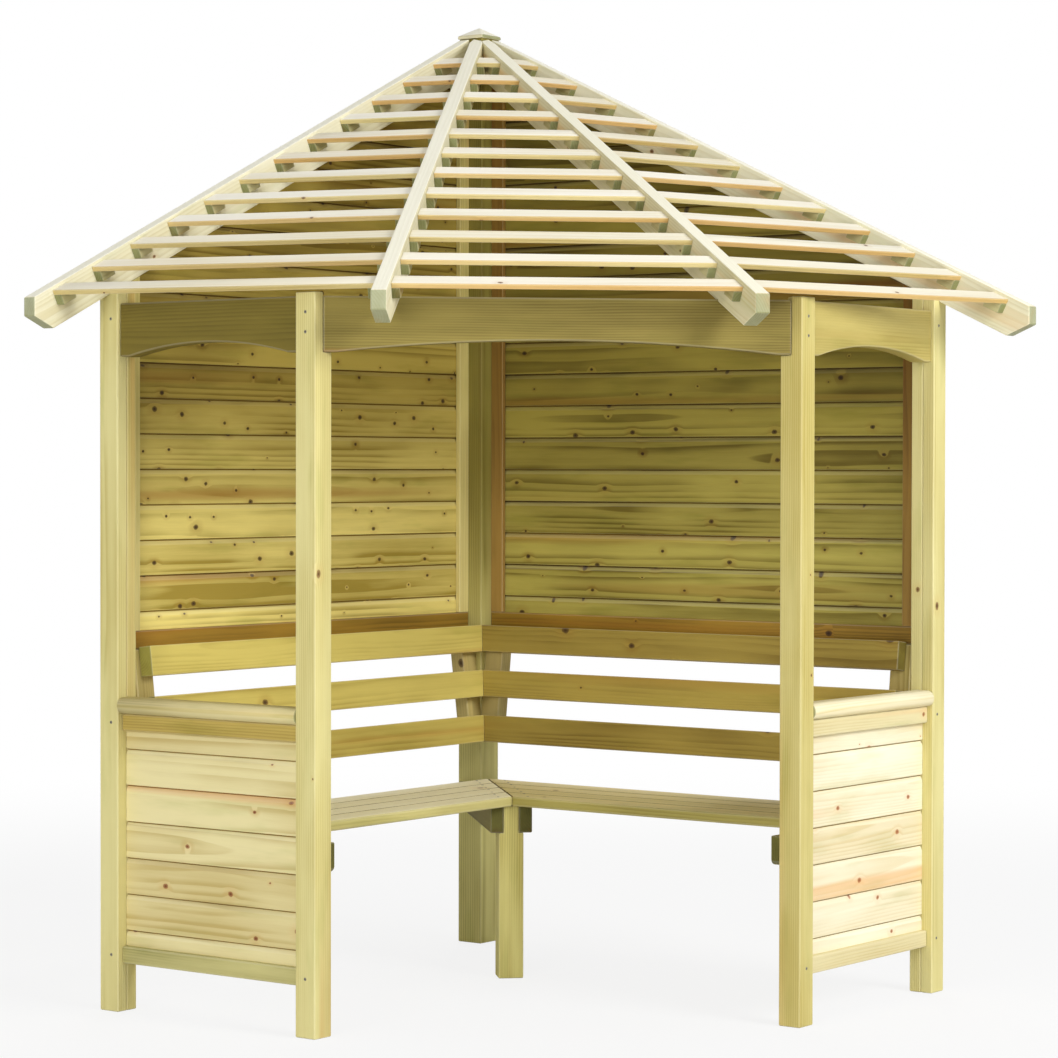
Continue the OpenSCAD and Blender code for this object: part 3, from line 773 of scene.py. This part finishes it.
WALL_PITCH, WALL_JOINT = 0.0836, 0.925  # height of a wall board, and of one joint above the ground
WALL_BOARD, WING_BOARD = 0.019, 0.0165  # thickness
WALL_BACK, WING_BACK = 0.0004, 0.0002  # how far the boards' faces lie behind the plain sheet's
PLAY = 0.001  # metres that a board is shorter than its sheet, half at each end
RISE = 0.47  # how much a wall's top rises for each metre towards the corner
UNDER_RAFTER = 0.002  # metres left between the boards and the rafter
SIDES = [(-1, "left", WALL_LEFT, WING_LEFT), (1, "right", WALL_RIGHT, WING_RIGHT)]
for side, word, finish, _ in SIDES:
    node = word + "_wall_panel"
    points = points_on_wall(node, side)
    low, high = points.min(0), points.max(0)
    end_top = points[points[:, 0] > high[0] - 1e-4, 2].max()
    start = WALL_JOINT - WALL_PITCH
    board = board_mesh(node + "_board", float(high[0] - low[0]) - PLAY, WALL_PITCH, WALL_BOARD)
    stack = run_tree(node, board, STACK, {
        "Boards": math.ceil((high[2] - start) / WALL_PITCH), "Pitch": WALL_PITCH,
        "Low": float(low[2]) - start, "High": float(high[2]) - start - UNDER_RAFTER,
        "Slope Top": float(end_top + RISE * (high[0] - low[0])) - start - UNDER_RAFTER, "Slope": RISE,
        "Material": finish})
    place = wall_matrix(side) @ Matrix.Translation((low[0] + PLAY / 2, low[1] + WALL_BACK, start))
    show(word + "_wall_boards", settle(stack, place), finish, [node], 100 + side)

# %% [markdown]
# The wing boards are the same section at a slightly wider pitch. They run out from the wall, so the finished
# stack is turned a quarter, and no slope cuts them: the slope's top is put far above them.

# %% Wing boards
WING_PITCH, WING_JOINT = 0.0843, 0.189
NO_SLOPE = 50.0
for side, word, _, finish in SIDES:
    node = word + "_wing_panel"
    points = points_on_wall(node, side)
    low, high = points.min(0), points.max(0)
    start = WING_JOINT - WING_PITCH
    board = board_mesh(node + "_board", float(high[1] - low[1]) - PLAY, WING_PITCH, WING_BOARD)
    stack = run_tree(node, board, STACK, {
        "Boards": math.ceil((high[2] - start) / WING_PITCH), "Pitch": WING_PITCH,
        "Low": float(low[2]) - start, "High": float(high[2]) - start,
        "Slope Top": NO_SLOPE, "Slope": RISE, "Material": finish})
    turn = Matrix.Rotation(math.pi / 2, 4, "Z")
    place = wall_matrix(side) @ Matrix.Translation((high[0] - WING_BACK, low[1] + PLAY / 2, start)) @ turn
    show(word + "_wing_boards", settle(stack, place), finish, [node], 110 + side)

# %% [markdown]
# ## Screws and nails
# Countersunk screws hold the frame and the seat together, and nails go through each wall board into the
# battens from outside. The heads could be copies of one mesh, each turned by hand. Here a Geometry Nodes tree
# puts a small head with its cross recess at each listed point, facing the way stored with the point and spun
# by chance, as a driver leaves it.

# %% The tree of screw heads
CROSS_SHARE = 1.15  # length of the cross, as a share of the head's radius
CROSS_HEIGHT = 0.0002


def screw_tree():
    """Geometry Nodes: one head on each point, facing along the point's own direction."""
    tree = bpy.data.node_groups.new("screw_heads", "GeometryNodeTree")
    face = tree.interface
    face.new_socket("Geometry", in_out="INPUT", socket_type="NodeSocketGeometry")
    for name, value in [("Head Radius", 0.004), ("Head Height", 0.0006), ("Slot Width", 0.0011)]:
        face.new_socket(name, in_out="INPUT", socket_type="NodeSocketFloat").default_value = value
    face.new_socket("Seed", in_out="INPUT", socket_type="NodeSocketInt").default_value = 3
    face.new_socket("Material", in_out="INPUT", socket_type="NodeSocketMaterial")
    face.new_socket("Geometry", in_out="OUTPUT", socket_type="NodeSocketGeometry")
    w = Wires(tree)
    given = w.node("NodeGroupInput").outputs
    head = w.node("GeometryNodeMeshCone")
    head.inputs["Vertices"].default_value = 20
    w.put(head.inputs["Radius Top"], w.maths("MULTIPLY", given["Head Radius"], 0.86))
    w.put(head.inputs["Radius Bottom"], given["Head Radius"])
    w.put(head.inputs["Depth"], given["Head Height"])
    parts = w.node("GeometryNodeJoinGeometry")
    w.put(parts.inputs[0], head.outputs[0])
    long_side = w.maths("MULTIPLY", given["Head Radius"], CROSS_SHARE)
    for turned in (False, True):
        bar = w.node("GeometryNodeMeshCube")
        size = w.node("ShaderNodeCombineXYZ")
        w.put(size.inputs[1 if turned else 0], long_side)
        w.put(size.inputs[0 if turned else 1], given["Slot Width"])
        size.inputs[2].default_value = CROSS_HEIGHT
        w.put(bar.inputs["Size"], size.outputs[0])
        lift = w.node("GeometryNodeTransform")
        up = w.node("ShaderNodeCombineXYZ")
        w.put(up.inputs[2], w.maths("ADD", given["Head Height"], 0.00006 if turned else 0.00003))
        w.put(lift.inputs[0], bar.outputs[0])
        w.put(lift.inputs["Translation"], up.outputs[0])
        mark = w.node("GeometryNodeStoreNamedAttribute", data_type="FLOAT", domain="FACE")
        w.put(mark.inputs["Geometry"], lift.outputs[0])
        mark.inputs["Name"].default_value = "recess"
        mark.inputs["Value"].default_value = 1.0
        w.put(parts.inputs[0], mark.outputs[0])
    facing = w.node("GeometryNodeInputNamedAttribute", data_type="FLOAT_VECTOR")
    facing.inputs["Name"].default_value = "facing"
    aim = w.node("FunctionNodeAlignRotationToVector", axis="Z")
    w.put(aim.inputs["Vector"], facing.outputs[0])
    spin = w.node("FunctionNodeRandomValue", data_type="FLOAT")
    spin.inputs["Max"].default_value = 1.57  # a quarter turn: a cross looks the same after that
    w.put(spin.inputs["Seed"], given["Seed"])
    about = w.node("FunctionNodeAxisAngleToRotation")
    about.inputs["Axis"].default_value = (0, 0, 1)
    w.put(about.inputs["Angle"], spin.outputs[1])
    both = w.node("FunctionNodeRotateRotation", rotation_space="LOCAL")
    w.put(both.inputs[0], aim.outputs[0])
    w.put(both.inputs[1], about.outputs[0])
    many = w.node("GeometryNodeInstanceOnPoints")
    w.put(many.inputs["Points"], given["Geometry"])
    w.put(many.inputs["Instance"], parts.outputs[0])
    w.put(many.inputs["Rotation"], both.outputs[0])
    real = w.node("GeometryNodeRealizeInstances")
    w.put(real.inputs[0], many.outputs[0])
    paint = w.node("GeometryNodeSetMaterial")
    w.put(paint.inputs["Geometry"], real.outputs[0])
    w.put(paint.inputs["Material"], given["Material"])
    w.put(w.node("NodeGroupOutput").inputs[0], paint.outputs[0])
    return tree


SCREWS = screw_tree()
print("screw tree:", len(SCREWS.nodes), "nodes")

# %% [markdown]
# The heads are plated steel that weather has dulled, so the metal is rough and uneven. The cross stands a
# little proud of the head and is painted nearly black, as painted shade and the dirt that a real cross recess
# holds. The cross carries its own attribute, so one finish serves for both.

# %% Screw steel
BRIGHT_STEEL, DULL_STEEL, CROSS_SHADE_AND_DIRT = (0.46, 0.43, 0.34, 1), (0.30, 0.27, 0.20, 1), (0.05, 0.045, 0.03, 1)
STEEL = bpy.data.materials.new("screw_steel")
STEEL.use_nodes = True
w = Wires(STEEL.node_tree)
shader = STEEL.node_tree.nodes["Principled BSDF"]
recess = w.node("ShaderNodeAttribute", attribute_name="recess").outputs["Fac"]
dull = w.noise(w.scaled(w.node("ShaderNodeTexCoord").outputs["Object"], (900, 900, 900)))
# Painted shade: the cross bars are coloured near black for the shade and dirt of a recess.
w.put(shader.inputs["Base Color"], w.mix(recess, w.mix(dull, BRIGHT_STEEL, DULL_STEEL), CROSS_SHADE_AND_DIRT))
w.put(shader.inputs["Roughness"], w.maths("MULTIPLY_ADD", dull, 0.3, 0.35))
shader.inputs["Metallic"].default_value = 0.7


# %% Heads at listed places
HEAD_HEIGHT, CROSS_WIDTH, SPIN_SEED = 0.0005, 0.28, 3  # the cross's width is a share of the radius


def heads(name, points, radius):
    """Screw heads at (place, facing) pairs given in world space."""
    mesh = bpy.data.meshes.new(name + "_points")
    mesh.from_pydata([tuple(p) for p, _ in points], [], [])
    way = mesh.attributes.new("facing", "FLOAT_VECTOR", "POINT")
    way.data.foreach_set("vector", [c for _, n in points for c in n])
    done = run_tree(name, mesh, SCREWS, {"Head Radius": radius, "Head Height": HEAD_HEIGHT,
                                         "Slot Width": radius * CROSS_WIDTH, "Seed": SPIN_SEED,
                                         "Material": STEEL})
    piece = bpy.data.objects.new(name, done)
    bpy.context.scene.collection.objects.link(piece)
    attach(piece, "root")
    print(name, len(points), "heads,", len(done.polygons), "faces")


# %% [markdown]
# The screws sit where one length crosses another: on the outer faces of the end posts, where the header and
# the wing's rails come in, and in pairs at both ends of every seat slat. The nails come in pairs over each
# batten, one pair to a board, up to the slope.

# %% Places of the screws and nails
POST_FACE = WALL_END + 0.0002
WING_HALF, WALL_HALF = -0.590, 0.002  # how far out the screws sit in the two halves of an end post
WING_HEIGHTS, WALL_HEIGHTS = (1.606, 1.562, 0.132), (1.606, 0.672, 0.132)
BATTENS, NAIL_FACE, NAIL_PAIR, NAIL_MARGIN = (0.057, 1.311), 0.0378, 0.018, 0.03
SEAT_TOP, SEAT_END, SEAT_MITRE = 0.4532, 1.318, 0.052  # the mitre's screws follow its 45 degrees
FIRST_SLAT, SLAT_PITCH, SLAT_PAIR = -0.174, 0.082, 0.022  # middle of the slat next to the wall, and so on out
frame_screws, wall_nails, bench_screws = [], [], []
for side, word, _, _ in SIDES:
    m = wall_matrix(side)
    along, out = m.to_3x3() @ Vector((1, 0, 0)), m.to_3x3() @ Vector((0, 1, 0))
    for half, heights in [(WING_HALF, WING_HEIGHTS), (WALL_HALF, WALL_HEIGHTS)]:
        frame_screws += [(m @ Vector((POST_FACE, half, z)), along) for z in heights]
    points = points_on_wall(word + "_wall_panel", side)
    low, high = points.min(0), points.max(0)
    for x in BATTENS:
        z = WALL_JOINT - WALL_PITCH / 2
        while z < high[2] - RISE * (x - low[0]) - NAIL_MARGIN:
            wall_nails += [(m @ Vector((x, NAIL_FACE, z + d)), out) for d in (-NAIL_PAIR, NAIL_PAIR)]
            z += WALL_PITCH
    for row in range(4):
        for d in (-SLAT_PAIR, SLAT_PAIR):
            y = FIRST_SLAT - SLAT_PITCH * row + d
            bench_screws += [(m @ Vector((x, y, SEAT_TOP)), UP) for x in (SEAT_END, SEAT_MITRE - y)]
heads("frame_screws", frame_screws, 0.0038)
heads("wall_nails", wall_nails, 0.0025)
heads("bench_screws", bench_screws, 0.0036)

# %% [markdown]
# ## The floor
# The shelter stands on a plain white studio floor with no visible edge. A grey floor under a white sky would
# show a horizon. So what the camera sees is an even glow that fades to pure white a few metres out, while
# every other ray meets a light grey floor that throws soft light back up under the bench and roof.

# %% Floor
FLOOR_WIDTH, FLOOR_DROP = 120, 0.0005  # the floor lies just under the feet, so no faces share a plane
FLOOR_GREY = (0.72, 0.72, 0.72, 1)
NEAR_WHITE, FADE_FROM, FADE_TO = 0.83, 1.6, 5.0  # the glow's share near the shelter, and its fade in metres
bpy.ops.mesh.primitive_plane_add(size=FLOOR_WIDTH)
floor = bpy.context.object
floor.name = "floor"
floor.location = (0, 0, -FLOOR_DROP)
ground = bpy.data.materials.new("plain_floor")
ground.use_nodes = True
w = Wires(ground.node_tree)
far = w.node("ShaderNodeVectorMath", operation="LENGTH")
w.put(far.inputs[0], w.node("ShaderNodeTexCoord").outputs["Object"])
fade = w.step(far.outputs["Value"], FADE_FROM, FADE_TO)
shader = ground.node_tree.nodes["Principled BSDF"]
shader.inputs["Base Color"].default_value = FLOOR_GREY
shader.inputs["Roughness"].default_value = 0.9
shader.inputs["Specular IOR Level"].default_value = 0.0
glow = w.node("ShaderNodeEmission")
glow.inputs["Color"].default_value = (1, 1, 1, 1)
rays = w.node("ShaderNodeLightPath").outputs["Is Camera Ray"]
white = w.maths("MULTIPLY", rays, w.maths("MULTIPLY_ADD", fade, 1 - NEAR_WHITE, NEAR_WHITE))
blend = w.node("ShaderNodeMixShader")
w.put(blend.inputs[0], white)
w.put(blend.inputs[1], shader.outputs[0])
w.put(blend.inputs[2], glow.outputs[0])
w.put(ground.node_tree.nodes["Material Output"].inputs["Surface"], blend.outputs[0])
floor.data.materials.append(ground)
floor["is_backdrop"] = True
print("floor", FLOOR_WIDTH, "m wide")

# %% [markdown]
# ## The light
# A white room lights the shelter from all round, a little more from above, and looks pure white itself. Three
# large soft lamps shape it: the key from the right of the way in, a weaker one from the left, and one behind
# that lights the outer faces of the walls. One small lamp would throw hard shadows, and the room has none.

# %% Sky
SKY_SIDES, SKY_RISE = 0.18, 0.42  # strength level with the eye, and how much is added straight above
scene = bpy.context.scene
scene.view_settings.view_transform = "Standard"
world = bpy.data.worlds.new("studio")
scene.world = world
world.use_nodes = True
w = Wires(world.node_tree)
sky = world.node_tree.nodes["Background"]
sky.inputs["Color"].default_value = (1, 1, 1, 1)
rays = w.node("ShaderNodeLightPath")
seen = w.maths("MAXIMUM", rays.outputs["Is Camera Ray"], rays.outputs["Is Transmission Ray"])
height = w.node("ShaderNodeSeparateXYZ")
w.put(height.inputs[0], w.node("ShaderNodeTexCoord").outputs["Generated"])
dome = w.maths("MULTIPLY_ADD", w.maths("MAXIMUM", height.outputs[2], 0.0), SKY_RISE, SKY_SIDES)
w.put(sky.inputs["Strength"], w.maths("MAXIMUM", seen, dome))
print("sky strength", SKY_SIDES, "to", round(SKY_SIDES + SKY_RISE, 2))


# %% Lamps
LAMP_AIM = (0, -0.7, 0.9)  # the middle of the shelter


def lamp(name, place, size, power):
    """A square soft lamp that faces the middle of the shelter."""
    light = bpy.data.lights.new(name, "AREA")
    light.shape = "SQUARE"
    light.size = size
    light.energy = power
    thing = bpy.data.objects.new(name, light)
    scene.collection.objects.link(thing)
    thing.location = place
    thing.rotation_euler = (Vector(LAMP_AIM) - Vector(place)).to_track_quat("-Z", "Y").to_euler()
    print(name, power, "W")


lamp("key", (4.6, -6.2, 4.2), 3.0, 400)
lamp("front_fill", (-4.2, -7.8, 1.8), 4.0, 300)
lamp("back_fill", (1.0, 6.6, 4.0), 4.0, 170)

# %% [markdown]
# ## The camera
# A long lens from far off, at about a seated eye's height, keeps the uprights straight and lets the eye look
# in under the roof. The camera's three directions are written out from its angles, so that each angle can be
# read and changed on its own.

# %% Camera
CAMERA_PLACE = (-1.095, -8.446, 1.264)
YAW, PITCH, ROLL = 8.289, -1.103, 0.095  # degrees: right of the y axis, upwards, and to one side
LENS, SENSOR, SIGHT = 108.8, 36, 200  # millimetres, millimetres, metres
camera_data = bpy.data.cameras.new("camera")
camera = bpy.data.objects.new("camera", camera_data)
scene.collection.objects.link(camera)
scene.camera = camera
yaw, pitch, roll = (math.radians(a) for a in (YAW, PITCH, ROLL))
ahead = Vector((math.sin(yaw) * math.cos(pitch), math.cos(yaw) * math.cos(pitch), math.sin(pitch)))
right = Vector((math.cos(yaw), -math.sin(yaw), 0))
above = right.cross(ahead)
right, above = (right * math.cos(roll) + above * math.sin(roll),
                above * math.cos(roll) - right * math.sin(roll))
aim = Matrix((right, above, -ahead)).transposed().to_4x4()
camera.matrix_world = Matrix.Translation(CAMERA_PLACE) @ aim
camera_data.sensor_width = SENSOR
camera_data.lens = LENS
camera_data.clip_end = SIGHT
print("camera", round((Vector(CAMERA_PLACE) - Vector(LAMP_AIM)).length, 2), "m from the middle")

SIZES = write_size("visual", SIZES)
print("visual box", SIZES["visual"])
